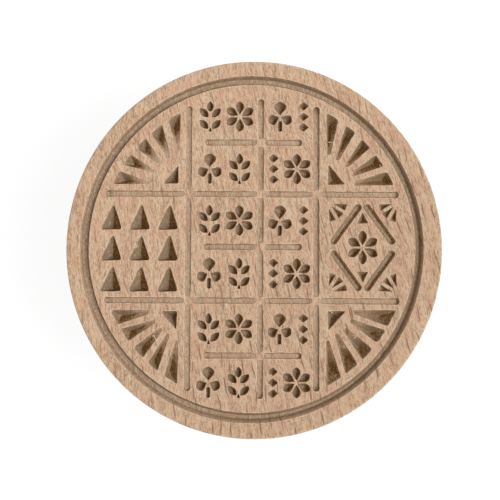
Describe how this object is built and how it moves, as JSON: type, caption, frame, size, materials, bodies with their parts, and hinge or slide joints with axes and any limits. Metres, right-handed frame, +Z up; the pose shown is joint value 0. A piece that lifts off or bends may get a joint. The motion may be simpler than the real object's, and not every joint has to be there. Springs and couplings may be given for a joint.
{
  "type": "bread stamp",
  "caption": "Round wooden bread stamp: a disc with a chip-carved face of lines, rays and small motifs, doweled to a turned knob handle.",
  "frame": {"origin": "middle of the handle's flat end, on which the stamp stands", "axes": "+Z up out of the carved face, +Y towards the top of the carved pattern, +X to its right"},
  "size_m": [0.139, 0.14, 0.072],
  "materials": {
    "carved_beech": "bare beech, sanded flat, with cut chips and grooves",
    "turned_beech": "bare beech, turned and sanded",
    "dowel_beech": "bare beech, fluted"
  },
  "bodies": {
    "root": {"stamp_disc": "carved_beech", "handle": "turned_beech", "handle_dowel": "dowel_beech"}
  },
  "joints": []
}
